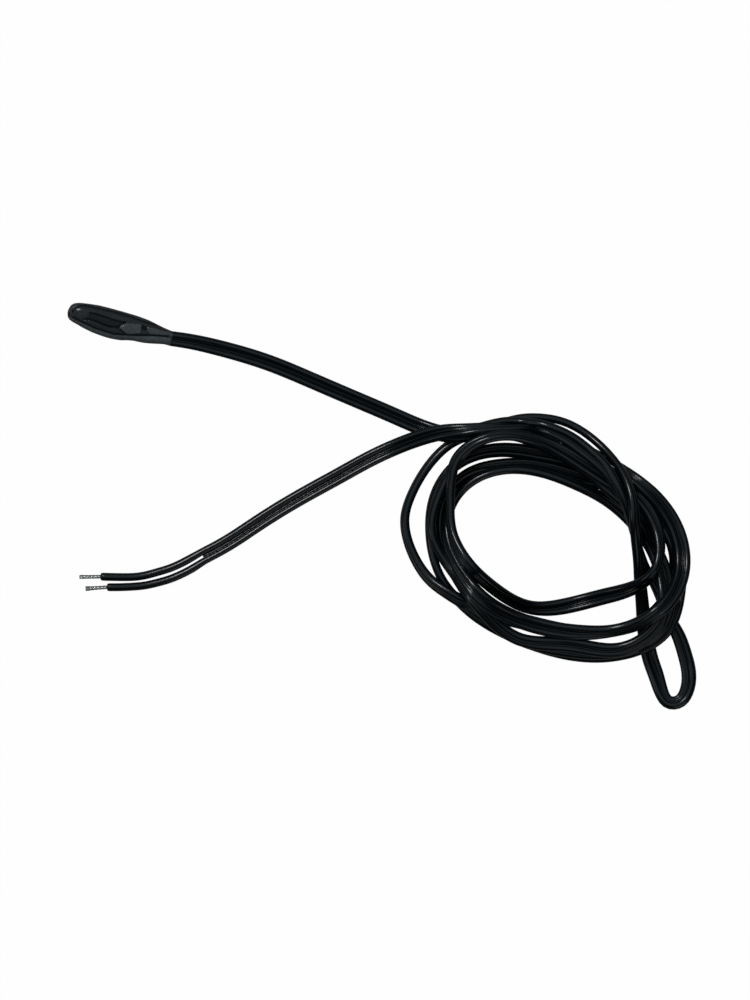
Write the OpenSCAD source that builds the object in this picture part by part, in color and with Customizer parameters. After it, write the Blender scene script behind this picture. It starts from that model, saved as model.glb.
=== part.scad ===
// Temperature probe: a flattened moulded sensing head on a coiled two-core flat cord,
// whose far end is split into two legs with stripped, tinned ends.
// +X runs from the head's tip to its cord end, +Z is up from the table it lies on.

/* [Head] */
// Length of the moulded head
head_length = 21.5; // [20:0.5:30]
// Width of the head where it is widest
head_width = 5.9; // [5.5:0.1:9]
// Thickness of the head between its two flat sides
head_thickness = 3.8; // [3.6:0.1:6]
// Width of the head's neck where the cord leaves it
neck_width = 3.4; // [3.4:0.1:4.5]
// Thickness of the neck
neck_thickness = 3.2; // [3.2:0.1:3.6]
// How boxy the head's cross-section is, 2 being an ellipse
head_squareness = 2.4; // [2.2:0.1:3]

/* [Sensing bead] */
// Diameter of the bead
bead_d = 1.8; // [1.4:0.1:2]
// Length of the bead
bead_length = 3; // [2.4:0.1:4]
// Moulding in front of the bead
tip_wall = 1.5; // [1.3:0.1:2.5]
// Diameter of the bead's lead wires
lead_d = 0.3; // [0.2:0.05:0.4]
// Distance between the two leads where they leave the bead
lead_pitch = 0.9; // [0.8:0.05:1]

/* [Lead sleeves and splices] */
// Outer diameter of the sleeve on each lead
sleeve_d = 0.7; // [0.5:0.05:0.75]
// Length of each sleeve
sleeve_length = 5; // [3:0.5:6]
// Diameter of each crimped splice
splice_d = 1.3; // [1:0.05:1.35]
// Length of each splice
splice_length = 3.2; // [2.4:0.1:4]

/* [Cord] */
// Diameter over one core's insulation
wire_d = 1.7; // [1.6:0.05:1.7]
// Distance between the two cores of the flat cord
wire_pitch = 1.6; // [1.5:0.05:1.6]
// Width over a core's stranded conductor, whose outline is a hexagon
core_d = 0.7; // [0.5:0.02:0.9]
// Length of the cord that is moulded into the head
root_length = 4.2; // [3:0.1:5]
// Bare conductor between the insulation and the splice
core_gap = 0.8; // [0.4:0.1:1.2]
// Turn of the cord about its own axis where it leaves the head, in degrees
root_roll = 40; // [30:1:50]
// Straight cord behind the head before it bends down to the table
root_straight = 0.4; // [0.2:0.1:1]

/* [Far end] */
// Diameter of a stripped end with its tin
tinned_d = 0.76; // [0.6:0.02:1]
// Bare length of each stripped end
strip_length = 4.3; // [3:0.1:8]
// Length of each stripped end's conductor that is held in its leg
strip_hold = 3; // [2:0.1:4]

/* [Coil] */
// Length of the oval that the coil's turns follow
coil_length = 47; // [40:0.5:60]
// Width of that oval
coil_width = 35; // [30:0.5:45]
// Number of cross-sections round the coil
coil_sections = 48; // [32:16:96]
// Bevel along the coil's four edges
coil_edge = 1.2; // [0.6:0.1:1.5]

/* [Hidden] */
$fn = 48;

head_color = [0.10, 0.105, 0.115];
cord_color = [0.06, 0.065, 0.075];
metal_color = [0.78, 0.78, 0.76];
bead_color = [0.25, 0.13, 0.08];
sleeve_color = [0.85, 0.83, 0.76];

head_x = head_length / 2;
head_z = head_thickness / 2;

// places along the head's own axis
bead_back_x = -head_x + tip_wall + bead_length;
bead_x = bead_back_x - bead_length / 2;
root_x = head_x - root_length;
splice_x = root_x - core_gap - splice_length;

// the middle of each core's cross-section where the cord leaves the head
core_offset = wire_pitch / 2 * [0, cos(root_roll), sin(root_roll)];

// share of the head's length, of its half width and of its half thickness
TIP_PROFILE = [
    [0, 0.20, 0.26], [0.005, 0.36, 0.45], [0.018, 0.50, 0.60], [0.04, 0.61, 0.72], [0.07, 0.70, 0.82],
    [0.12, 0.78, 0.90], [0.19, 0.89, 0.97], [0.27, 0.96, 1], [0.36, 1, 1], [0.45, 1, 1], [0.54, 0.98, 1],
    [0.62, 0.91, 0.98], [0.70, 0.84, 0.96],
];
// share of the way from the profile's last section to the neck
NECK_PROFILE = [[0.76, 0.05], [0.82, 0.30], [0.88, 0.60], [0.94, 0.86], [0.98, 0.97], [1, 1]];
head_sides = 32;

// centre and tilt of the coil's oval
COIL_CENTRE = [95, -18.5];
coil_tilt = -5;
// the turns' inner and outer limits, from the oval, and their height, at sixteen
// stations counter-clockwise from the oval's left end
COIL_INNER = [-3.2, -3.4, -3.7, -3.9, -4.6, -6.4, -7.1, -6.4, -6.7, -7.9, -7.4, -7.6, -7.4, -6.7, -5.6, -4.1];
COIL_OUTER = [2.8, 3.6, 6.2, 5.4, 5.5, 6.8, 7.5, 7.6, 5.2, 4.4, 3.3, 2.2, 4.8, 6.4, 7, 6.2];
COIL_HEIGHT = [9.6, 11.6, 12, 11.4, 10.6, 9.8, 10.2, 10.6, 9.6, 9, 9.2, 9.2, 8.6, 9, 8.8, 8.4];

// The routes' points are x, y, z and the cord's turn about its own axis there.
HEAD_RUN = [
    [13, 0.3, 1.8, 36], [17, 0.5, 1.4, 25], [23, 0.7, 1.1, 8], [30.5, 0.4, 0.88, 0],
    [40, -0.8, 0.88, 0], [49, -2.1, 0.88, 0], [58, -3.4, 0.88, 0], [63, -4.1, 0.88, 0], [69, -4.2, 0.88, 0],
];
BIGHT = [
    [124.2, -31.9, 1.5, 45], [125.6, -34.2, 1.5, 45], [127.3, -37.6, 1.5, 45], [128, -41, 1.7, 60],
    [127.3, -43.7, 1.75, 80], [125.6, -44.6, 1.75, 85], [123.8, -43.2, 1.75, 80], [121.5, -40, 1.7, 60],
    [119.8, -37.2, 1.5, 45], [119.1, -35.8, 1.5, 45],
];
LEFT_LOOP = [
    [67.3, -10.4, 1.72, 85], [66, -13.8, 1.72, 85], [65.1, -18, 1.72, 85], [65.1, -22.4, 1.72, 85],
    [66.6, -26.8, 1.72, 85], [69.4, -30.4, 1.72, 85], [70.2, -31, 1.72, 85],
];
TAIL_RUN = [
    [68.6, -3.8, 2.7, 0], [64, -6.3, 2.65, 0], [59.6, -9.4, 2.1, 0], [55, -13.1, 1.4, 0], [50.3, -17.6, 0.95, 0],
    [43, -24.7, 0.88, 0], [36.4, -31.7, 0.88, 0], [31.2, -37.4, 0.88, 0], [28, -40.4, 0.88, 0],
];
LEG_A = [
    [27.35, -39.8, 0.88, 0], [24.4, -42.9, 0.88, 0], [20.3, -45.8, 0.88, 0], [15.5, -48, 0.88, 0], [9.3, -49.6, 0.88, 0],
];
LEG_B = [
    [28.5, -41.1, 0.88, 0], [24.8, -45.1, 0.88, 0], [20.6, -47.8, 0.88, 0], [15.9, -49.9, 0.88, 0], [11.1, -51.3, 0.88, 0],
];
tube_sides = 8;
core_sides = 6;

function mix(a, b, t) = a + (b - a) * t;
function unit(v) = v / norm(v);

// one cross-section of the head, a superellipse across X
function head_section(x, half_w, half_h) = [
    for (i = [0:head_sides - 1])
        let (a = 360 * i / head_sides, c = cos(a), s = sin(a), e = 2 / head_squareness)
        [x, half_w * sign(c) * pow(abs(c), e), head_z + half_h * sign(s) * pow(abs(s), e)]
];

function head_sections() =
    let (last = TIP_PROFILE[len(TIP_PROFILE) - 1])
    concat(
        [for (p = TIP_PROFILE)
            head_section(-head_x + p[0] * head_length, p[1] * head_width / 2, p[2] * head_thickness / 2)],
        [for (p = NECK_PROFILE)
            head_section(-head_x + p[0] * head_length,
                mix(last[1] * head_width, neck_width, p[1]) / 2,
                mix(last[2] * head_thickness, neck_thickness, p[1]) / 2)]);

// a solid skin over a list of cross-sections with the same number of points
module skin(sections, closed = false) {
    n = len(sections);
    m = len(sections[0]);
    walls = [for (i = [0:(closed ? n : n - 1) - 1]) for (j = [0:m - 1])
        let (a = i * m + j, b = i * m + (j + 1) % m, c = (i + 1) % n * m + j, d = (i + 1) % n * m + (j + 1) % m)
        each [[a, b, d], [a, d, c]]];
    ends = closed ? [] : [[for (j = [m - 1:-1:0]) j], [for (j = [0:m - 1]) (n - 1) * m + j]];
    polyhedron([for (s = sections) each s], concat(walls, ends), convexity = 6);
}

// direction of a route at one of its points
function heading(p, i) = unit([for (c = [0:2]) p[min(i + 1, len(p) - 1)][c] - p[max(i - 1, 0)][c]]);

// eight corners round the flat cord, or round one core where the pitch is nought
function cord_corners(pitch) = [
    for (i = [0:tube_sides - 1])
        let (a = 360 * (i + 0.5) / tube_sides, r = wire_d / 2 / cos(180 / tube_sides))
        [r * cos(a) + sign(cos(a)) * pitch / 2, r * sin(a)]
];

function route_section(p, i, pitch) =
    let (t = heading(p, i), side = unit([-t[1], t[0], 0]), up = cross(t, side), roll = p[i][3])
    [for (c = cord_corners(pitch))
        [for (k = [0:2]) p[i][k]
            + side[k] * (c[0] * cos(roll) - c[1] * sin(roll))
            + up[k] * (c[0] * sin(roll) + c[1] * cos(roll))]];

module tube(route, pitch) {
    skin([for (i = [0:len(route) - 1]) route_section(route, i, pitch)]);
}

// the coil's oval: the point and the outward direction at an angle
function oval_point(a) =
    let (u = coil_length / 2 * cos(a), v = coil_width / 2 * sin(a))
    COIL_CENTRE + [u * cos(coil_tilt) - v * sin(coil_tilt), u * sin(coil_tilt) + v * cos(coil_tilt)];
function oval_normal(a) =
    let (n = unit([cos(a) / coil_length, sin(a) / coil_width]))
    [n[0] * cos(coil_tilt) - n[1] * sin(coil_tilt), n[0] * sin(coil_tilt) + n[1] * cos(coil_tilt)];

// smooth value between the stations of a closed list
function station(list, u) =
    let (n = len(list), i = floor(u), t = u - i,
        a = list[(i + n - 1) % n], b = list[i % n], c = list[(i + 1) % n], d = list[(i + 2) % n])
    b + t * ((c - a) + t * ((2 * a - 5 * b + 4 * c - d) + t * (3 * b - a - 3 * c + d))) / 2;

function coil_section(i) =
    let (u = len(COIL_INNER) * i / coil_sections, a = 180 + 360 * i / coil_sections,
        inner = station(COIL_INNER, u), outer = station(COIL_OUTER, u), top = station(COIL_HEIGHT, u),
        e = coil_edge, p = oval_point(a), n = oval_normal(a))
    [for (c = [[inner, e], [inner, top - e], [inner + e, top], [outer - e, top],
            [outer, top - e], [outer, e], [outer - e, 0], [inner + e, 0]])
        [p[0] + n[0] * c[0], p[1] + n[1] * c[0], c[1]]];

// a straight bar between two points, round unless it has few sides
module bar(a, b, d, sides = $fn) {
    v = b - a;
    translate(a) rotate([0, acos(v[2] / norm(v)), atan2(v[1], v[0])]) cylinder(d = d, h = norm(v), $fn = sides);
}

// a lead's two ends: side is 1 or -1
function lead_front(side) = [bead_back_x, side * lead_pitch / 2, head_z];
function lead_back(side) = [splice_x, 0, head_z] + side * core_offset;
function along(a, b, distance) = a + unit(b - a) * distance;
function sleeve_front(side) =
    let (a = lead_front(side), b = lead_back(side))
    along(a, b, (norm(b - a) - sleeve_length) / 2);

module bead_form() {
    translate([bead_x, 0, head_z]) rotate([0, 90, 0])
        rotate_extrude() intersection() {
            union() {
                square([bead_d / 2, bead_length - bead_d], center = true);
                translate([0, -(bead_length - bead_d) / 2]) square([bead_d / 2, bead_length - bead_d]);
                for (s = [-1, 1]) translate([0, s * (bead_length - bead_d) / 2]) circle(d = bead_d);
            }
            translate([0, -bead_length / 2]) square([bead_d / 2, bead_length]);
        }
}

module lead_form(side) {
    bar(lead_front(side) - [bead_d / 3, 0, 0], lead_back(side), lead_d);
}

module sleeve_form(side) {
    a = sleeve_front(side);
    bar(a, along(a, lead_back(side), sleeve_length), sleeve_d);
}

module splice_form(side) {
    p = lead_back(side);
    bar(p, p + [splice_length, 0, 0], splice_d);
}

module core_form(side) {
    p = [splice_x + splice_length, 0, head_z] + side * core_offset;
    bar(p, p + [core_gap + root_length, 0, 0], core_d, core_sides);
}

module root_form() {
    translate([root_x, 0, head_z]) rotate([root_roll, 0, 0]) rotate([90, 0, 90])
        linear_extrude(root_length) {
            for (s = [-1, 1]) translate([s * wire_pitch / 2, 0]) circle(d = wire_d);
            square([wire_pitch, wire_d / 4], center = true);
        }
}

module head_moulding() {
    color(head_color) difference() {
        skin(head_sections());
        bead_form();
        root_form();
        for (side = [-1, 1]) {
            lead_form(side);
            sleeve_form(side);
            splice_form(side);
            core_form(side);
        }
    }
}

module ntc_bead() {
    color(bead_color) difference() {
        bead_form();
        for (side = [-1, 1]) lead_form(side);
    }
}

module lead(side) {
    color(metal_color) lead_form(side);
}

module lead_sleeve(side) {
    color(sleeve_color) difference() {
        sleeve_form(side);
        lead_form(side);
    }
}

module splice(side) {
    color(metal_color) splice_form(side);
}

module core_stub(side) {
    color(metal_color) core_form(side);
}

module cord_root() {
    color(cord_color) difference() {
        root_form();
        for (side = [-1, 1]) core_form(side);
    }
}

module cord_head_run() {
    start = [head_x, 0, head_z, root_roll];
    color(cord_color) tube(concat([start, [head_x + root_straight, 0, head_z, root_roll]], HEAD_RUN), wire_pitch);
}

module cord_bight() {
    color(cord_color) tube(BIGHT, wire_pitch);
}

module cord_left_loop() {
    color(cord_color) tube(LEFT_LOOP, wire_pitch);
}

module cord_tail_run() {
    color(cord_color) tube(TAIL_RUN, wire_pitch);
}

module cord_coil() {
    color(cord_color) skin([for (i = [0:coil_sections - 1]) coil_section(i)], closed = true);
}

// a leg's stripped end: the point where the insulation ends and the way it points
function leg_end(route) = let (p = route[len(route) - 1]) [p[0], p[1], p[2]];
function leg_heading(route) = let (t = heading(route, len(route) - 1)) unit([t[0], t[1], 0]);

module strand_form(route) {
    p = leg_end(route);
    t = leg_heading(route);
    bar(p - t * strip_hold, p, core_d, core_sides);
    bar(p, p + t * strip_length, tinned_d);
}

module leg(route) {
    p = leg_end(route);
    t = leg_heading(route);
    color(cord_color) difference() {
        tube(route, 0);
        bar(p - t * strip_hold, p + t * wire_d, core_d, core_sides);
    }
}

module strand(route) {
    color(metal_color) strand_form(route);
}

head_moulding();
ntc_bead();
lead(1);  // lead_a
lead(-1);  // lead_b
lead_sleeve(1);  // lead_sleeve_a
lead_sleeve(-1);  // lead_sleeve_b
splice(1);  // splice_a
splice(-1);  // splice_b
core_stub(1);  // core_stub_a
core_stub(-1);  // core_stub_b
cord_root();
cord_head_run();
cord_coil();
cord_bight();
cord_left_loop();
cord_tail_run();
leg(LEG_A);  // leg_a
leg(LEG_B);  // leg_b
strand(LEG_A);  // strand_a
strand(LEG_B);  // strand_b
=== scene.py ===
import math

import bmesh
import bpy
import numpy as np
from mathutils import Matrix, Vector


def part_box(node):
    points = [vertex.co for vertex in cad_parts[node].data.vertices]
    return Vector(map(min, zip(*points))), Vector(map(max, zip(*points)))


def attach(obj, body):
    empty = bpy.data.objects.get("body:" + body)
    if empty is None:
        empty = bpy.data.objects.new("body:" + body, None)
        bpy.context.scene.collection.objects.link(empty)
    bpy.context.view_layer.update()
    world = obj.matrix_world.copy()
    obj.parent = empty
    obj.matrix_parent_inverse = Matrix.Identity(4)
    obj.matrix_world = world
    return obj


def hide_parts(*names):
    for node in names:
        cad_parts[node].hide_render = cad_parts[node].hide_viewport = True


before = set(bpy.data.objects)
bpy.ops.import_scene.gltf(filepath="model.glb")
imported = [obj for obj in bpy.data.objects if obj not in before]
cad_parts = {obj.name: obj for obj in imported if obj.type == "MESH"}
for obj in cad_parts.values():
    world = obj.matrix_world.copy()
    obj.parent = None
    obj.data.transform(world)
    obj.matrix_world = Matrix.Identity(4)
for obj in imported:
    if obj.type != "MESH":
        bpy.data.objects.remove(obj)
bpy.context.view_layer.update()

# A temperature probe: a black moulded head on a flat two-core cord that lies in a loose coil.
# The shapes are worked out in millimetres and handed over in metres.
MM = 0.001

# The flat cord: two round cores side by side, with a low ridge along the web between them.
WIRE_D = 1.62
CORE_W = 1.42
PITCH = 1.88
# where the web meets a core, round the core from its outer side
WEB_ANGLE = math.radians(157)
WEB_X = PITCH / 2 + CORE_W / 2 * math.cos(WEB_ANGLE)
WEB_Y = WIRE_D / 2 * math.sin(WEB_ANGLE)
RIDGE = 0.32
CORE_CORNERS = 22
RIDGE_CORNERS = 9
# painted shade: the groove beside each core is painted darkest at this share of the web's half width, and
# the painted shade fades over this width
SHADE_AT = 0.9
SHADE_WIDTH = 0.22
CORD_NODES = ["cord_head_run", "cord_coil", "cord_bight", "cord_left_loop", "cord_tail_run"]

# Steps along the cord: between its rings, and between the samples that find its height.
RING_STEP = 0.7
LAY_STEP = 0.75
# how closely a route is traced before it is cut into even steps
TRACE_STEP = 0.1
# how close to a cut end the extra ring stands, as a share of a step
END_SHARE = 0.02

# How the turns lie on each other: how near the cores' middles come where they press, and the
# length of cord that doesn't press on itself.
NEAREST = 1.4
OWN_LENGTH = 5
LAY_ROUNDS = 300
LARGEST_MOVE = 0.6
RISE_SHARE = 0.5
SINK_SHARE = 0.4
FALL = 0.01
# how far rank, roll and height are evened out along the cord
RANK_BLUR = 1.5
ROLL_BLUR = 3
HEIGHT_BLUR = 2

# the end of the head that the cord leaves and the height of its axis, from the CAD node
HEAD_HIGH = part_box("head_moulding")[1] / MM
HEAD_X = HEAD_HIGH.x
HEAD_Z = HEAD_HIGH.z / 2
# the cord comes down to the table over this distance from the head
DROP = 12
DROP_REACH = 14

# Stretches of the route that are chosen: x, y, rank and roll.
# Of two stretches that cross, the one with the higher rank lies on top.
# Roll turns the flat cord about its own axis, and 90 stands it on edge.
HEAD_RUN = [
    (10.5, 0, 1, 38), (14, 0.4, 1, 32), (21.5, 0.7, 1, 15), (30.5, 0.4, 1, 5), (40, -0.8, 1, 0),
    (49, -2.1, 1, 0), (58, -3.4, 1, 0), (65, -4.3, 1, 0), (70, -4, 1, 0), (74, -2.4, 1, 10),
    (76.95, -0.65, 2, 25), (79.95, 0.82, 4, 30), (83, 1.6, 5, 45), (86, 2.05, 6, 58),
    (89.4, 1.88, 7, 48), (92.95, 1.08, 8, 22), (96.95, -0.53, 9, 30), (101.03, -2.7, 9, 55),
    (104, -5.4, 9, 75), (106.8, -8.7, 9, 88), (109, -12.1, 8, 88), (111.3, -15.75, 3, 88),
    (113.7, -19.2, 1, 88), (116.3, -22.2, 0.5, 88), (118.8, -25.2, 0.3, 85), (121.2, -28.2, 0.2, 65),
]
BIGHT = [
    (123.75, -30.95, 0.2, 45), (126.1, -34.4, 0.2, 40), (127.9, -38, 0.2, 36), (128.35, -41.35, 0.2, 38),
    (127.4, -43.8, 0.2, 60), (125.5, -44.45, 0.2, 75), (123.6, -42.95, 0.2, 45), (121.65, -39.95, 0.2, 14),
    (119.8, -37.2, 0.2, 5),
]
RETURN_RUN = [
    (118.15, -34.05, 0.2, 10), (116.45, -30.1, 0.3, 50), (115.0, -26.15, 0.4, 52), (113.45, -22.15, 1, 58),
    (112.15, -18.6, 7, 76), (110.6, -14.7, 10, 68), (109.2, -10.8, 10, 66), (107.7, -6.9, 10, 75),
    (105.1, -3.1, 10, 88), (100.95, 0.35, 10, 90), (96.1, 2.9, 9, 90), (91.05, 4.2, 6, 90),
    (86, 3.9, 3, 90), (81.45, 2.4, 2, 88), (77.2, -0.4, 0.5, 85), (73.4, -3.1, 0.3, 80),
]
LEFT_LOOP = [
    (70.35, -5.5, 0.3, 80), (67.8, -9.1, 0.3, 82), (66.05, -13.4, 0.3, 84), (65.02, -18, 0.3, 84),
    (64.97, -22.4, 0.5, 84), (66.73, -26.74, 1, 80), (69.5, -30.32, 5, 76), (72.95, -33.13, 5, 68),
    (77.45, -34.9, 4.5, 62), (82.1, -36.08, 2.5, 50),
]
TAIL_RUN = [
    (84.3, 1.15, 5.6, 84), (80.6, 0.2, 6, 84), (76.6, -0.9, 7.5, 66), (72.4, -2.42, 8, 46),
    (68.2, -3.92, 8, 26), (63.95, -6.18, 8, 5), (59.55, -9.28, 8, 0), (55, -13.1, 8, 0),
    (50.3, -17.6, 8, -5), (45.6, -22.1, 8, -10), (40.8, -26.9, 8, -10), (36.4, -31.7, 8, -10),
    (32, -36.6, 8, -5), (28, -40.4, 8, 0),
]

# The coil's turns follow a tilted oval. Each turn's offset outwards from it, rank and roll
# are given at sixteen stations, counter-clockwise from the oval's left end.
COIL_CENTRE = (95, -18.5)
COIL_HALF = (23.5, 17.5)
COIL_TILT = -5
STATIONS = 16
LANES = [
    [None, None, None, None, 0.5, 0.6, 1.4, 2.2, 1.75, 0.75, -0.9, -2.5, -1.9, 0.8, 2.95, 2.43],
    [-1.15, -2, -2.35, -2.6, -2.65, -4.78, -5.75, -4.65, -2.88, -1.95, -1.4, -1.5, -1.8, -1.65, 0.15, 1.6],
    [2.05, 2.4, 3.6, 3.93, 4.02, 4.95, 6.1, 6.05, 2.9, 2.2, 1.2, -2.2, -4.6, -4.1, -3.05, -1.25],
    [-0.1, 0.35, 1, 2.3, 4, 4.35, 5.5, 4.7, 0.3, -2.9, -3.7, -4, -2.8, -0.1, 3, 2],
    [1.2, 2, 1.1, 1.95, 4.02, 3.15, 5.25, 4, -1.4, -4.2, -5.55, -6.1, -6.15, -5.2, -3.95, -2.95],
    [-2, -0.9, -0.3, 0.45, 0.45, 0.5, 1.2, 2.15, 2.65, 2.2, 1.35, 0.6, 1.1, 2.95, None, None],
]
RANKS = [
    [None, None, None, None, 1, 1, 1, 1, 1.5, 2, 3, 6, 7, 7.5, 8, 8],
    [8, 8, 8, 8, 8, 8, 8, 8, 8, 8, 7, 5, 3, 3, 3, 2.6],
    [2.5, 2.5, 2.5, 2.4, 2.3, 2.2, 2.1, 2, 2, 1.8, 1.6, 1.5, 1.5, 1.5, 1.5, 2],
    [3, 3, 3, 3, 3, 3, 3, 3, 3, 3, 4, 5, 5, 5, 5, 4.5],
    [4, 4, 4, 4, 4, 4, 4, 4, 3.5, 3, 2.5, 2.2, 2, 2, 2.2, 3],
    [5, 6, 7, 7, 7, 7, 7, 7, 7, 7, 7, 6.5, 6, 5.8, None, None],
]
ROLLS = [
    [None, None, None, None, 10, 20, 75, 30, 50, 50, 20, 10, 20, 55, 76, 62],
    [88, 80, 58, 52, 56, 5, 10, 35, 90, 68, 50, 40, 40, 36, 38, 66],
    [86, 85, 88, 64, 60, 50, 45, 30, 40, 40, 30, 25, 30, 40, 45, 70],
    [84, 84, 86, 64, 60, 45, 50, 30, 60, 60, 45, 45, 85, 88, 86, 80],
    [86, 85, 80, 42, 60, 24, 45, 30, 84, 84, 70, 70, 66, 75, 78, 80],
    [86, 75, 60, 30, 5, 15, 75, 38, 15, 15, 25, 50, 82, 84, None, None],
]

# The two split legs, x and y of each core's middle from the cord outwards, and their bare ends.
LEG_A = [
    (28.22, -38.89), (27.3, -39.8), (25.88, -41.22), (24.06, -42.93), (22.2, -44.4), (19.95, -45.82),
    (17.7, -47.1), (15.5, -48), (13.2, -48.65), (11.2, -49.15), (9.3, -49.6),
]
LEG_B = [
    (29.52, -40.25), (28.6, -41.12), (26.85, -43), (24.7, -45), (22.6, -46.6), (20.6, -47.8),
    (18.3, -49), (15.9, -49.9), (13.5, -50.65), (11.1, -51.3),
]
LEG_STEP = 0.3
LEG_CORNERS = 24
# a leg grows out of the flat cord's core: distance along it and size, then the sizes of its rounded end
LEG_GROWTH = [0, 1.2, 4.5], [0.84, CORE_W / WIRE_D, 1]
LEG_END = 0.97, 0.82, 0.81
STRIP_A = [(9.3, -49.6), (7.2, -50.2), (5.2, -50.75)]
STRIP_B = [(11.1, -51.3), (9.2, -51.95), (7.0, -52.7)]
STRIP_D = 0.76
STRIP_STEP = 0.15
# seven wires, one of them in the middle, twisted once in this length, with a little air between them
WIRES = 7
TWIST = 4.2
FINE_WIRE_R = STRIP_D / 6.2
FINE_WIRE_CORNERS = 10
# how much thicker the bare ends grow towards their tips, and the size of the cut
SWELL_A = 0.1
SWELL_B = 0.4
CUT_SIZE = 0.85

# The head's sections along its axis: x, half width on the left and on the right, half height.
HEAD_OUTLINE = [
    (-10.75, 0.05, 0.05, 0.05), (-10.68, 0.75, 0.7, 0.6), (-10.45, 1.3, 1.2, 1.0), (-10.0, 1.75, 1.6, 1.35),
    (-9.3, 2.1, 1.9, 1.6), (-8.4, 2.3, 2.1, 1.75), (-7, 2.5, 2.5, 1.85), (-5, 2.72, 2.9, 1.9),
    (-3.5, 2.75, 3.05, 1.9), (-2, 2.75, 3.15, 1.9), (-0.5, 2.74, 3.12, 1.9), (1, 2.72, 2.95, 1.88),
    (2.2, 2.68, 2.6, 1.85), (3.4, 2.63, 2.38, 1.82), (5.4, 2.42, 2.28, 1.75), (6.5, 2.2, 2.1, 1.68),
    (7.5, 1.98, 1.9, 1.6), (8.6, 1.75, 1.65, 1.52), (9.6, 1.6, 1.45, 1.45), (10.4, 1.52, 1.38, 1.4),
    (10.72, 1.4, 1.28, 1.28), (10.8, 1.0, 1.0, 1.0),
]
# which rows of the outline the nose ends at and the neck's end starts at, and the rings on each part
NOSE_ROW, NECK_ROW = 3, -3
NOSE_RINGS, BODY_RINGS, NECK_RINGS = 24, 230, 12
HEAD_CORNERS = 200
HEAD_BLUR = 3
# the superellipse's power: 2 would be an ellipse
HEAD_POWER = 2.5

# The head's upper face, x and y about its axis: fine grooves, darkened with painted shade, then panels with
# tone and height.
# The first and the last groove part the rims on either side from the body.
HEAD_GROOVES = [
    [(-9.9, -0.1), (-9.75, 0.7), (-9.35, 1.25), (-8.6, 1.7), (-7.6, 2), (-5.8, 2.13), (-2.5, 2.24),
        (-0.1, 2.3), (2.3, 2.14), (4.8, 1.95), (6.9, 1.82), (8.6, 1.72), (9.8, 1.65)],
    [(-6.3, 0.75), (-4.9, 0.85), (-3.2, 0.76), (-1.75, 0.62), (-0.4, 0.6), (1, 0.71)],
    [(-7.2, -0.85), (-5.9, -0.62), (-4.5, -0.64), (-3.2, -0.9), (-1.7, -1), (-0.2, -0.69), (1, 0.66)],
    [(-0.2, -0.69), (1.7, -1.57)],
    [(-9.6, -1), (-8.7, -1.24), (-7, -1.57), (-4.8, -1.98), (-2.7, -2.12), (-0.65, -2.17), (1.8, -1.7),
        (4.2, -1.14), (6.6, -0.48), (10.4, 0.3)],
]
# the facet's dark tone is painted shade, standing in for its slope
FACET = [
    (-6.1, 0.8), (-4.9, 0.86), (-3.2, 0.76), (-1.7, 0.62), (-0.4, 0.59), (0.9, 0.7), (-0.2, -0.69),
    (-1.7, -1), (-3.2, -0.9), (-4.5, -0.64), (-5.9, -0.62), (-7, -0.8),
]
PENTAGON = [(0.05, -0.6), (1.02, 0.58), (4.14, 1.16), (4.43, -0.57), (1.6, -1.55)]
# the notch is painted black, as shade in its recess
NOTCH = [(4.42, 1.15), (5.42, 1.07), (5.57, 0.34), (4.6, 0.08)]
NECK_PATCH = [(5.6, 0.98), (7.1, 1.09), (10.5, 1.15), (10.5, 0.62), (6.42, -0.25), (5.72, 0.29)]
HEAD_PANELS = [(FACET, 0.12, -0.04), (PENTAGON, 0.76, 0.05), (NOTCH, 0, -0.1), (NECK_PATCH, 0.7, 0.05)]
# the grooves' width and depth; the same profile also paints shade into them
GROOVE_WIDTH = 0.19
GROOVE_DEPTH = 0.13
BODY_TONE = 0.28
# the painted reflection that the rims add to the body's tone on the left and on the right
RIM_REFLECTIONS = 0.38, 0.72

# the sockets of a colour mix node
SHARE, FIRST, SECOND, RESULT = 0, 6, 7, 2

# The camera: its height and what it sees from top to bottom, in metres, and its middle and turn.
CAMERA_HEIGHT = 2.0
VIEW_HEIGHT = 0.2
VIEW_CENTRE = (0.0583, -0.0206, 0)
VIEW_TURN = 15
CLIP_END = 10

# The light: the lean of the sky's brightest part from overhead and the direction it leans to,
# where the sky starts to brighten and is brightest, and the lamps, each with its azimuth,
# elevation, distance and size in metres and power in watts.
SKY_TILT, SKY_TURN = 25, 130
SKY_DIM, SKY_BRIGHT = 0.55, 0.95
LAMP_AIM = (0.07, -0.02, 0)
LAMPS = {
    "key": (141, 53, 0.7, 0.14, 0.9),
    "side": (205, 35, 0.6, 0.16, 0.1),
    "fill": (-45, 25, 0.6, 0.4, 0.25),
}

# The floor: its size and place in metres, and how much of its white the camera and gloss see.
FLOOR_SIZE = 3
FLOOR_PLACE = (0.06, -0.02, -0.00002)
FLOOR_WHITE = 1.1
CAMERA_SHARE = 0.9
GLOSS_SHARE = 0.12


def oval(angle):
    """The point of the coil's oval at an angle in degrees, and the outward direction there."""
    t = math.radians(angle)
    turn = Matrix.Rotation(math.radians(COIL_TILT), 2)
    a, b = COIL_HALF
    point = Vector(COIL_CENTRE) + turn @ Vector((a * math.cos(t), b * math.sin(t)))
    return point, (turn @ Vector((math.cos(t) / a, math.sin(t) / b))).normalized()


def coil_points():
    """The coil's turns as points of the route, one turn after the other."""
    points = []
    for lanes, ranks, rolls in zip(LANES, RANKS, ROLLS):
        for station, (lane, rank, roll) in enumerate(zip(lanes, ranks, rolls)):
            if lane is None:
                continue
            point, out = oval(180 + 360 / STATIONS * station)
            x, y = point + out * lane
            points.append((x, y, rank, roll))
    return points


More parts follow.
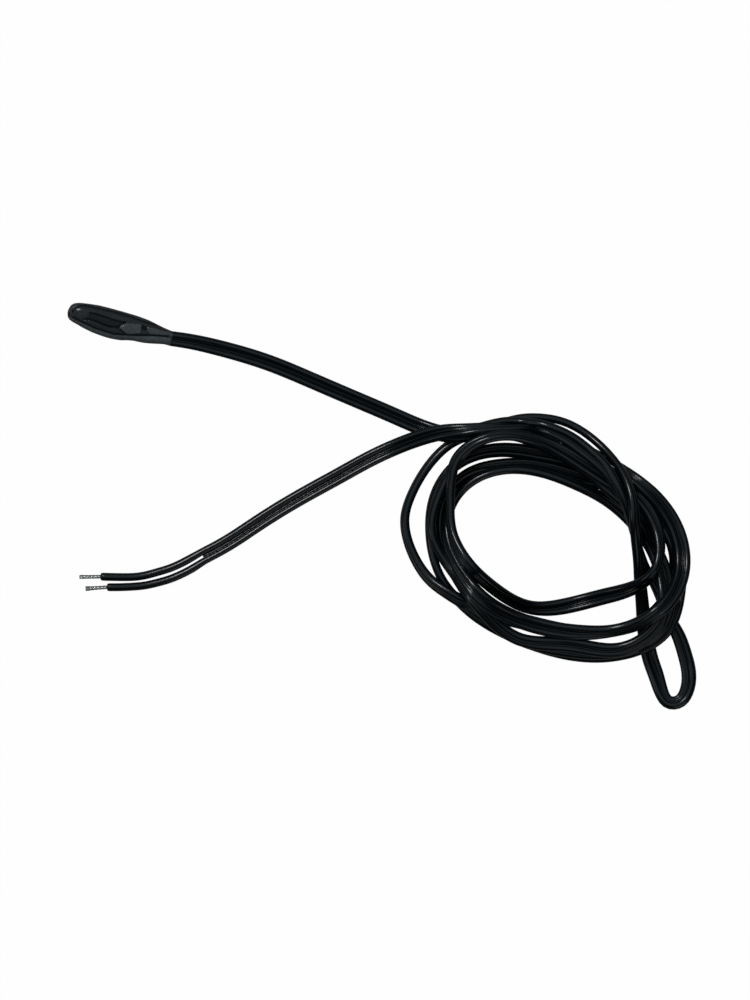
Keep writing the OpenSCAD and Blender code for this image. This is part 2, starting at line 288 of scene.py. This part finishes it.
def smooth(values, sigma):
    """Gaussian smoothing along a list, with sigma in samples."""
    n = int(4 * sigma) + 1
    weights = np.exp(-0.5 * (np.arange(-n, n + 1) / sigma) ** 2)
    return np.convolve(np.pad(values, n, mode="edge"), weights / weights.sum(), mode="valid")


def second_derivatives(knots, gaps):
    """What a natural cubic spline through level points bends by at each of them."""
    n = len(knots)
    m = np.zeros((n, n))
    r = np.zeros((n, 2))
    m[0, 0] = m[-1, -1] = 1
    slopes = np.diff(knots, axis=0) / gaps[:, None]
    for i in range(1, n - 1):
        m[i, i - 1:i + 2] = gaps[i - 1], 2 * (gaps[i - 1] + gaps[i]), gaps[i]
        r[i] = 6 * (slopes[i] - slopes[i - 1])
    return np.linalg.solve(m, r)


def spline(points, step):
    """A natural cubic spline through the points, sampled evenly in x and y; other columns run straight."""
    p = np.array(points, float)
    knots = p[:, :2]
    gaps = np.hypot(*np.diff(knots, axis=0).T)
    t = np.concatenate([[0], np.cumsum(gaps)])
    bend = second_derivatives(knots, gaps)
    fine = np.linspace(0, t[-1], int(t[-1] / TRACE_STEP))
    i = np.clip(np.searchsorted(t, fine, side="right") - 1, 0, len(t) - 2)
    before, after, gap = (t[i + 1] - fine)[:, None], (fine - t[i])[:, None], gaps[i][:, None]
    xy = bend[i] * before ** 3 / (6 * gap) + bend[i + 1] * after ** 3 / (6 * gap)
    xy += (knots[i] / gap - bend[i] * gap / 6) * before
    xy += (knots[i + 1] / gap - bend[i + 1] * gap / 6) * after
    rest = [np.interp(fine, t, column) for column in p[:, 2:].T]
    traced = np.column_stack([xy] + rest)
    arc = np.concatenate([[0], np.cumsum(np.hypot(*np.diff(xy, axis=0).T))])
    want = np.linspace(0, arc[-1], int(arc[-1] / step) + 1)
    return np.column_stack([np.interp(want, arc, column) for column in traced.T])


def sideways(xy):
    """The level direction to the left of a route at each of its samples."""
    d = np.gradient(xy, axis=0)
    d /= np.hypot(*d.T)[:, None]
    return np.column_stack([-d[:, 1], d[:, 0]])


def crisp_ends(rows):
    """Adds a row close to each end of a path, so that the smooth shading stops at the cut."""
    first = rows[0] + (rows[1] - rows[0]) * END_SHARE
    last = rows[-1] + (rows[-2] - rows[-1]) * END_SHARE
    return np.vstack([rows[:1], first, rows[1:-1], last, rows[-1:]])


def crossings(xy, rank, side, up):
    """Pairs of samples of which one lies over the other, and how much higher it has to lie."""
    left = sideways(xy)
    number = np.arange(len(xy))
    apart = np.abs(number[:, None] - number[None]) > OWN_LENGTH / LAY_STEP
    above = rank[:, None] > rank[None]
    upper, lower, need = [], [], []
    for s in (1, -1):
        for t in (1, -1):
            a = xy + left * (side * s)[:, None]
            b = xy + left * (side * t)[:, None]
            flat = ((a[:, None] - b[None]) ** 2).sum(-1)
            i, j = np.nonzero((flat < NEAREST * NEAREST) & apart & above)
            upper.append(i)
            lower.append(j)
            need.append(np.sqrt(NEAREST * NEAREST - flat[i, j]) + up[j] * t - up[i] * s)
    return (np.concatenate(v) for v in (upper, lower, need))


def settle(xy, rank, roll):
    """The height at which each sample of the cord comes to lie on the table and on what it crosses."""
    side, up = PITCH / 2 * np.cos(roll), PITCH / 2 * np.sin(roll)
    floor = np.hypot(CORE_W / 2 * np.sin(roll), WIRE_D / 2 * np.cos(roll)) + np.abs(up)
    upper, lower, need = crossings(xy, rank, side, up)
    z = floor.copy()
    # the cord is stiff, so each round also evens its height out a little
    kernel = np.array([1, 4, 6, 4, 1]) / 16
    for _ in range(LAY_ROUNDS):
        short = np.clip(need - (z[upper] - z[lower]), 0, LARGEST_MOVE)
        rise, sink = np.zeros(len(z)), np.zeros(len(z))
        np.maximum.at(rise, upper, short)
        np.maximum.at(sink, lower, short)
        z = np.maximum(z + RISE_SHARE * rise - SINK_SHARE * sink - FALL, floor)
        z = np.maximum(np.convolve(np.pad(z, 2, mode="edge"), kernel, mode="valid"), floor)
    return smooth(z, HEIGHT_BLUR / LAY_STEP)


def lay_cord():
    """Middle, roll and sideways direction of the whole cord at every ring."""
    points = HEAD_RUN + BIGHT + RETURN_RUN + LEFT_LOOP + coil_points() + TAIL_RUN
    coarse = spline(points, LAY_STEP)
    rank = smooth(coarse[:, 2], RANK_BLUR / LAY_STEP)
    roll = np.radians(smooth(coarse[:, 3], ROLL_BLUR / LAY_STEP))
    z = settle(coarse[:, :2], rank, roll)
    # out of the head's end, it comes down from the head's axis to the table
    far = coarse[:, 0] - HEAD_X
    near = np.arange(len(z)) * LAY_STEP < DROP_REACH
    drop = 0.5 + 0.5 * np.cos(np.pi * np.clip(far / DROP, 0, 1))
    z = np.where(near, z + (HEAD_Z - z) * drop, z)
    fine = spline(points, RING_STEP)
    share, samples = np.linspace(0, 1, len(fine)), np.linspace(0, 1, len(coarse))
    z, roll = np.interp(share, samples, z), np.interp(share, samples, roll)
    rings = crisp_ends(np.column_stack([fine[:, :2], z, roll]))
    return rings[:, :3], rings[:, 3], sideways(rings[:, :2])


def flat_section():
    """Corners round the flat cord's section: two cores, with the web's ridge between them on both faces."""
    corners = []
    for way in (1, -1):
        for a in np.linspace(-WEB_ANGLE, WEB_ANGLE, CORE_CORNERS):
            corners.append((way * (PITCH + CORE_W * math.cos(a)) / 2, way * WIRE_D / 2 * math.sin(a)))
        for a in np.linspace(0, math.pi, RIDGE_CORNERS)[1:-1]:
            corners.append((way * WEB_X * math.cos(a), way * (WEB_Y + RIDGE * math.sin(a) ** 3)))
    return np.array(corners)


def circle(radius, corners):
    """Corners round a circle."""
    a = 2 * np.pi * np.arange(corners) / corners
    return radius * np.column_stack([np.cos(a), np.sin(a)])


def skin(rings, corners, first=0):
    """The faces of a closed tube whose corners are numbered ring by ring: its sides, then its two ends."""
    faces = []
    for near in range(first, first + (rings - 1) * corners, corners):
        for j in range(corners):
            k = (j + 1) % corners
            faces.append((near + j, near + k, near + corners + k, near + corners + j))
    last = first + (rings - 1) * corners
    faces.append(tuple(range(first + corners - 1, first - 1, -1)))
    faces.append(tuple(range(last, last + corners)))
    return faces


def new_mesh(name, corners, faces):
    """A smooth-shaded piece from corners in millimetres."""
    mesh = bpy.data.meshes.new(name)
    mesh.from_pydata((corners * MM).tolist(), [], faces)
    mesh.update()
    bm = bmesh.new()
    bm.from_mesh(mesh)
    bmesh.ops.recalc_face_normals(bm, faces=bm.faces)
    bm.to_mesh(mesh)
    bm.free()
    mesh.shade_smooth()
    piece = bpy.data.objects.new(name, mesh)
    bpy.context.scene.collection.objects.link(piece)
    return piece


def write_values(piece, name, values):
    """Stores a number at each corner of a piece, for its material."""
    layer = piece.data.attributes.new(name, "FLOAT", "POINT")
    layer.data.foreach_set("value", values.astype(np.float32))


def sweep(name, middles, left, roll, section, size=1.0):
    """A closed mesh with one section at every ring of a path; size scales it, ring by ring."""
    d = np.gradient(middles, axis=0)
    d /= np.linalg.norm(d, axis=1)[:, None]
    side = np.column_stack([left, np.zeros(len(middles))])
    up = np.cross(d, side)
    up /= np.linalg.norm(up, axis=1)[:, None]
    c, s = np.cos(roll)[:, None], np.sin(roll)[:, None]
    size = np.broadcast_to(size, len(middles))[:, None]
    across, over = (side * c + up * s) * size, (up * c - side * s) * size
    x, y = section[:, 0, None], section[:, 1, None]
    corners = middles[:, None] + across[:, None] * x + over[:, None] * y
    piece = new_mesh(name, corners.reshape(-1, 3), skin(len(middles), len(section)))
    for cut_end in piece.data.polygons[-2:]:
        cut_end.use_smooth = False
    # painted shade in the groove beside each core, for the colour: 1 where the colour is unshaded, 0 where
    # the painted shade is darkest
    reach = np.minimum(1, np.abs(np.abs(section[:, 0]) - SHADE_AT * WEB_X) / SHADE_WIDTH)
    write_values(piece, "painted_shade_mask", np.tile(reach, len(middles)))
    return piece


def seat(piece, looks, slot, *nodes):
    """Gives a piece its material, hangs it from the root body and hides the CAD nodes that it stands for."""
    piece.data.materials.append(looks)
    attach(piece, "root")
    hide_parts(*nodes)
    return piece


def make_cord(looks):
    middles, roll, left = lay_cord()
    piece = sweep("flat_cord", middles, left, roll, flat_section())
    return seat(piece, looks, "cord", *CORD_NODES), middles


def make_leg(name, points, node, looks):
    path = crisp_ends(spline([(x, y, WIRE_D / 2) for x, y in points], LEG_STEP))
    size = np.interp(np.arange(len(path)) * LEG_STEP, *LEG_GROWTH)
    size[-3:] = LEG_END
    ring = circle(WIRE_D / 2, LEG_CORNERS)
    piece = sweep(name, path, sideways(path[:, :2]), np.zeros(len(path)), ring, size)
    return seat(piece, looks, "cord", node)


def make_strands(name, points, node, looks, swell):
    """Fine wires twisted round each other, which spread towards their blunt cut end."""
    path = spline([(x, y, WIRE_D / 2) for x, y in points], STRIP_STEP)
    number = np.arange(len(path))
    size = 1 + swell * (number / number[-1]) ** 3
    size[-1] *= CUT_SIZE
    side = np.column_stack([sideways(path[:, :2]), np.zeros(len(path))]) * size[:, None]
    over = np.array([0, 0, 1]) * size[:, None]
    ring = circle(FINE_WIRE_R, FINE_WIRE_CORNERS)
    corners, faces = [], []
    for wire in range(WIRES):
        reach = 0 if wire == 0 else STRIP_D / 2 - FINE_WIRE_R
        a = 2 * np.pi * (wire / (WIRES - 1) - number * STRIP_STEP / TWIST)
        middle = path + side * reach * np.cos(a)[:, None] + over * reach * np.sin(a)[:, None]
        faces += skin(len(path), len(ring), wire * len(path) * len(ring))
        corners.append(middle[:, None] + side[:, None] * ring[:, 0, None] + over[:, None] * ring[:, 1, None])
    piece = new_mesh(name, np.concatenate(corners).reshape(-1, 3), faces)
    return seat(piece, looks, "metal", node)


def line_distance(x, y, line):
    """How far points lie from a line of straight stretches."""
    best = np.full(len(x), np.inf)
    for (ax, ay), (bx, by) in zip(line, line[1:]):
        dx, dy = bx - ax, by - ay
        t = np.clip(((x - ax) * dx + (y - ay) * dy) / (dx * dx + dy * dy), 0, 1)
        best = np.minimum(best, np.hypot(x - ax - t * dx, y - ay - t * dy))
    return best


def inside(x, y, outline):
    """Which points lie within an outline, by how often a level line from each crosses it."""
    odd = np.zeros(len(x), bool)
    for (ax, ay), (bx, by) in zip(outline, outline[1:] + outline[:1]):
        if ay != by:
            odd ^= ((ay > y) != (by > y)) & (x < ax + (y - ay) * (bx - ax) / (by - ay))
    return odd


def head_sections():
    """Where the head's rings stand along its axis, and their half widths and half heights."""
    rows = np.array(HEAD_OUTLINE)
    at = np.concatenate([
        np.linspace(rows[0, 0], rows[NOSE_ROW, 0], NOSE_RINGS)[:-1],
        np.linspace(rows[NOSE_ROW, 0], rows[NECK_ROW, 0], BODY_RINGS)[:-1],
        np.linspace(rows[NECK_ROW, 0], rows[-1, 0], NECK_RINGS),
    ])
    return at, [smooth(np.interp(at, rows[:, 0], column), HEAD_BLUR) for column in rows[:, 1:].T]


def head_face(x, y, z, high):
    """The tone of each point of the head's skin, and how far it stands proud; the tone holds painted shade
    in the grooves, on the facet and in the notch, and a painted reflection on the rims.
    """
    upper = z > 0
    left_edge, right_edge = (np.interp(x, *np.array(HEAD_GROOVES[k]).T) for k in (0, -1))
    rim = (y > left_edge) | (y < right_edge)
    # the rims' painted reflection is full on the upper half and fades out towards the underside
    rim_reflection_share = np.clip(1 + 2 * z / high, 0, 1)
    left_reflection, right_reflection = RIM_REFLECTIONS
    tone = np.where(rim, BODY_TONE + rim_reflection_share * np.where(y < 0, right_reflection, left_reflection), BODY_TONE)
    lift = np.zeros(len(x))
    for outline, shade, height in HEAD_PANELS:
        within = inside(x, y, outline) & upper
        tone[within] = shade
        lift[within] = height
    # each groove is sunk, and painted shade darkens its tone to black
    for line in HEAD_GROOVES:
        groove_depth_and_shade = np.exp(-(line_distance(x, y, line) / GROOVE_WIDTH) ** 2) * upper
        tone *= 1 - groove_depth_and_shade
        lift -= GROOVE_DEPTH * groove_depth_and_shade
    return tone, lift


def make_head(looks):
    at, columns = head_sections()
    n = HEAD_CORNERS
    a = np.tile(2 * np.pi * np.arange(n) / n, len(at))
    x = np.repeat(at, n)
    left, right, high = (np.repeat(column, n) for column in columns)
    wide = np.where(np.cos(a) > 0, left, right)
    y = wide * np.copysign(np.abs(np.cos(a)) ** (2 / HEAD_POWER), np.cos(a))
    z = high * np.copysign(np.abs(np.sin(a)) ** (2 / HEAD_POWER), np.sin(a))
    tone, lift = head_face(x, y, z, high)
    # outwards across the axis at each corner
    out_y = np.copysign(np.abs(y / wide) ** (HEAD_POWER - 1) / wide, y)
    out_z = np.copysign(np.abs(z / high) ** (HEAD_POWER - 1) / high, z)
    size = np.hypot(out_y, out_z)
    y, z = y + out_y / size * lift, z + out_z / size * lift
    piece = new_mesh("head_body", np.column_stack([x, y, z + HEAD_Z]), skin(len(at), n))
    write_values(piece, "tone", tone)
    return seat(piece, looks, "head", "head_moulding")


# Materials. Bump distances are in metres, and the noises' scales are per metre.
def material(name, roughness, specular=0.5, metallic=0.0):
    made = bpy.data.materials.new(name)
    made.use_nodes = True
    shader = made.node_tree.nodes["Principled BSDF"]
    shader.inputs["Roughness"].default_value = roughness
    shader.inputs["Specular IOR Level"].default_value = specular
    shader.inputs["Metallic"].default_value = metallic
    return made, made.node_tree, shader


def noise(tree, scale, detail, rough=0.5):
    place = tree.nodes.new("ShaderNodeTexCoord")
    node = tree.nodes.new("ShaderNodeTexNoise")
    node.inputs["Scale"].default_value = scale
    node.inputs["Detail"].default_value = detail
    node.inputs["Roughness"].default_value = rough
    tree.links.new(place.outputs["Object"], node.inputs["Vector"])
    return node.outputs["Fac"]


def stored(tree, name):
    """A number that the piece carries at its corners."""
    node = tree.nodes.new("ShaderNodeAttribute")
    node.attribute_name = name
    return node.outputs["Fac"]


def ramp(tree, source, low, high, first, last):
    node = tree.nodes.new("ShaderNodeValToRGB")
    for stop, place, colour in zip(node.color_ramp.elements, (low, high), (first, last)):
        stop.position = place
        stop.color = (*colour, 1)
    tree.links.new(source, node.inputs["Fac"])
    return node.outputs["Color"]


def colour_mix(tree, second, blend):
    """A mix node with its second colour linked."""
    node = tree.nodes.new("ShaderNodeMix")
    node.data_type = "RGBA"
    node.blend_type = blend
    tree.links.new(second, node.inputs[SECOND])
    return node


def bump(tree, shader, source, strength, distance):
    node = tree.nodes.new("ShaderNodeBump")
    node.inputs["Strength"].default_value = strength
    node.inputs["Distance"].default_value = distance
    tree.links.new(source, node.inputs["Height"])
    tree.links.new(node.outputs["Normal"], shader.inputs["Normal"])


def cord_material():
    """Glossy black insulation, with painted shade where the web meets the cores."""
    made, tree, shader = material("cord_insulation", 0.16)
    mottle = ramp(tree, noise(tree, 900, 4), 0.35, 0.7, (0.004, 0.006, 0.008), (0.007, 0.0105, 0.013))
    shade = colour_mix(tree, mottle, "MIX")
    # the near-black colour of the painted shade, which the stored mask mixes in at the grooves
    shade.inputs[FIRST].default_value = (0.0005, 0.0008, 0.001, 1)
    tree.links.new(stored(tree, "painted_shade_mask"), shade.inputs[SHARE])
    tree.links.new(shade.outputs[RESULT], shader.inputs["Base Color"])
    bump(tree, shader, noise(tree, 7000, 2), 0.3, 0.00002)
    return made


def head_material():
    """A black compound with a fine grain, in the tone of each part of the face, which holds painted shade
    and a painted reflection.
    """
    made, tree, shader = material("head_compound", 0.13, specular=0.22)
    grain = ramp(tree, noise(tree, 1300, 5, 0.65), 0.3, 0.7, (0.72, 0.72, 0.72), (1.25, 1.25, 1.25))
    mottled = colour_mix(tree, grain, "MULTIPLY")
    mottled.inputs[SHARE].default_value = 1
    tone = ramp(tree, stored(tree, "tone"), 0, 1, (0, 0, 0), (0.125, 0.138, 0.147))
    tree.links.new(tone, mottled.inputs[FIRST])
    tree.links.new(mottled.outputs[RESULT], shader.inputs["Base Color"])
    bump(tree, shader, noise(tree, 6000, 2), 0.4, 0.000018)
    return made


def tin_material():
    """Tinned copper, a little uneven."""
    made, tree, shader = material("tinned_copper", 0.2, metallic=1)
    mottle = ramp(tree, noise(tree, 1800, 4), 0.3, 0.75, (0.5, 0.49, 0.47), (0.88, 0.87, 0.84))
    tree.links.new(mottle, shader.inputs["Base Color"])
    bump(tree, shader, noise(tree, 3000, 3), 0.25, 0.00004)
    return made


def floor_material():
    """A dark floor for the light, which the camera sees as white but for a trace of the object's shadow."""
    made, tree, shader = material("white_floor", 0.9, specular=0.0)
    shader.inputs["Base Color"].default_value = (0.02, 0.02, 0.02, 1)
    glow = tree.nodes.new("ShaderNodeEmission")
    glow.inputs["Strength"].default_value = FLOOR_WHITE
    rays = tree.nodes.new("ShaderNodeLightPath")
    glossy = tree.nodes.new("ShaderNodeMath")
    glossy.operation = "MULTIPLY"
    glossy.inputs[1].default_value = GLOSS_SHARE
    share = tree.nodes.new("ShaderNodeMath")
    share.operation = "MULTIPLY_ADD"
    share.inputs[1].default_value = CAMERA_SHARE
    mix = tree.nodes.new("ShaderNodeMixShader")
    tree.links.new(rays.outputs["Is Glossy Ray"], glossy.inputs[0])
    tree.links.new(rays.outputs["Is Camera Ray"], share.inputs[0])
    tree.links.new(glossy.outputs[0], share.inputs[2])
    tree.links.new(share.outputs[0], mix.inputs["Fac"])
    tree.links.new(shader.outputs[0], mix.inputs[1])
    tree.links.new(glow.outputs[0], mix.inputs[2])
    tree.links.new(mix.outputs[0], tree.nodes["Material Output"].inputs["Surface"])
    return made


def make_floor():
    bpy.ops.mesh.primitive_plane_add(size=FLOOR_SIZE, location=FLOOR_PLACE)
    floor = bpy.context.object
    floor.name = "floor"
    floor.data.materials.append(floor_material())


def make_camera():
    """A long lens straight above the object, turned so that it lies as in the photograph."""
    data = bpy.data.cameras.new("camera")
    data.lens = data.sensor_width * CAMERA_HEIGHT / VIEW_HEIGHT
    data.clip_end = CLIP_END
    camera = bpy.data.objects.new("camera", data)
    camera.location = Vector(VIEW_CENTRE) + Vector((0, 0, CAMERA_HEIGHT))
    camera.rotation_euler = (0, 0, math.radians(VIEW_TURN))
    bpy.context.scene.collection.objects.link(camera)
    bpy.context.scene.camera = camera


def towards(azimuth, elevation):
    """The direction at an azimuth and an elevation in degrees."""
    a, e = math.radians(azimuth), math.radians(elevation)
    return Vector((math.cos(a) * math.cos(e), math.sin(a) * math.cos(e), math.sin(e)))


def make_lamp(name, azimuth, elevation, distance, size, power):
    """A square lamp that faces the middle of the object."""
    away = towards(azimuth, elevation)
    data = bpy.data.lights.new(name, "AREA")
    data.size = size
    data.energy = power
    lamp = bpy.data.objects.new(name, data)
    lamp.location = Vector(LAMP_AIM) + away * distance
    lamp.rotation_euler = away.to_track_quat("Z", "Y").to_euler()
    bpy.context.scene.collection.objects.link(lamp)


def make_sky():
    """A dim sky that is brightest overhead, a little towards one side."""
    world = bpy.data.worlds.new("studio")
    world.use_nodes = True
    tree = world.node_tree
    place = tree.nodes.new("ShaderNodeTexCoord")
    lean = tree.nodes.new("ShaderNodeVectorMath")
    lean.operation = "DOT_PRODUCT"
    lean.inputs[1].default_value = towards(SKY_TURN, 90 - SKY_TILT)
    tree.links.new(place.outputs["Generated"], lean.inputs[0])
    sky = ramp(tree, lean.outputs["Value"], SKY_DIM, SKY_BRIGHT, (0.006, 0.008, 0.01), (0.34, 0.41, 0.45))
    tree.links.new(sky, tree.nodes["Background"].inputs["Color"])
    bpy.context.scene.world = world


make_camera()
cord_looks = cord_material()
tin_looks = tin_material()
cord, route = make_cord(cord_looks)
leg_a = make_leg("leg_insulation_a", LEG_A, "leg_a", cord_looks)
leg_b = make_leg("leg_insulation_b", LEG_B, "leg_b", cord_looks)
strands_a = make_strands("stripped_strands_a", STRIP_A, "strand_a", tin_looks, SWELL_A)
strands_b = make_strands("stripped_strands_b", STRIP_B, "strand_b", tin_looks, SWELL_B)
make_head(head_material())
make_floor()
make_sky()
for name, lamp in LAMPS.items():
    make_lamp(name, *lamp)
bpy.context.scene.view_settings.view_transform = "Standard"
